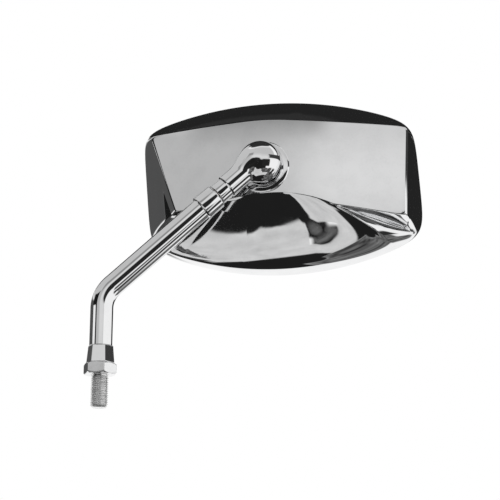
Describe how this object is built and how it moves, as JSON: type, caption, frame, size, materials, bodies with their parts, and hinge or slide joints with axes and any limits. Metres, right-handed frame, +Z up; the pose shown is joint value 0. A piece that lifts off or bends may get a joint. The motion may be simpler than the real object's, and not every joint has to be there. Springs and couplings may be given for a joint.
{
  "type": "motorcycle mirror",
  "caption": "Chromed rear-view mirror for a motorcycle: ball-jointed head on a bent stem with a swivelling elbow and a threaded stud with a lock nut.",
  "frame": {"origin": "on the stud's axis, at the upper end of the exposed thread", "axes": "+Z up along the stud into the stem, +X along the head away from the stem, +Y from the head's back to its glass side"},
  "size_m": [0.2025, 0.0634, 0.2003],
  "materials": {
    "chrome": "polished chrome plate",
    "zinc_steel": "zinc-plated thread",
    "spring_steel": "dark spring steel",
    "bronze": "sintered bronze",
    "nylon": "natural nylon",
    "cast_metal": "as cast",
    "black_plastic": "moulded black",
    "foam": "closed-cell foam",
    "mirror_glass": "silvered glass",
    "gasket_rubber": "soft black rubber"
  },
  "bodies": {
    "stem": {"threaded_stud": "zinc_steel", "hex_sleeve": "chrome", "stem_tube": "chrome", "swivel_collar": "chrome", "swivel_bush": "bronze"},
    "lock_nut": {"lock_nut": "chrome"},
    "elbow": {"elbow": "chrome", "swivel_spigot": "zinc_steel", "wave_washer": "spring_steel", "retaining_ring": "spring_steel", "ball_stud": "chrome"},
    "ball_liner": {"inner_seat": "nylon"},
    "pressure_cup": {"pressure_cup": "zinc_steel"},
    "head": {"mirror_shell": "chrome", "outer_seat": "nylon", "socket_housing": "cast_metal", "disc_spring": "spring_steel", "bracket_plate": "zinc_steel", "bracket_screws": "zinc_steel", "lock_washers": "spring_steel", "backing_plate": "black_plastic", "foam_pad": "foam", "mirror_glass": "mirror_glass", "rim_gasket": "gasket_rubber"}
  },
  "joints": [
    {"name": "nut_spin", "type": "hinge", "parent": "stem", "child": "lock_nut", "pos_m": [0, 0, 0.0042], "axis": [0, 0, 1], "continuous": true},
    {"name": "elbow_swivel", "type": "hinge", "parent": "stem", "child": "elbow", "pos_m": [0.06603, 0, 0.10892], "axis": [0.7361, 0, 0.6769], "continuous": true},
    {"name": "head_tilt", "type": "hinge", "parent": "elbow", "child": "ball_liner", "pos_m": [0.09496, 0.01516, 0.13063], "axis": [0.9744, -0.2089, 0.0837], "range_deg": [-12, 12]},
    {"name": "head_pan", "type": "hinge", "parent": "ball_liner", "child": "pressure_cup", "pos_m": [0.09496, 0.01516, 0.13063], "axis": [-0.0818, 0.0175, 0.9965], "range_deg": [-12, 12]},
    {"name": "head_spin", "type": "hinge", "parent": "pressure_cup", "child": "head", "pos_m": [0.09496, 0.01516, 0.13063], "axis": [-0.2096, -0.9778, 0], "continuous": true}
  ]
}
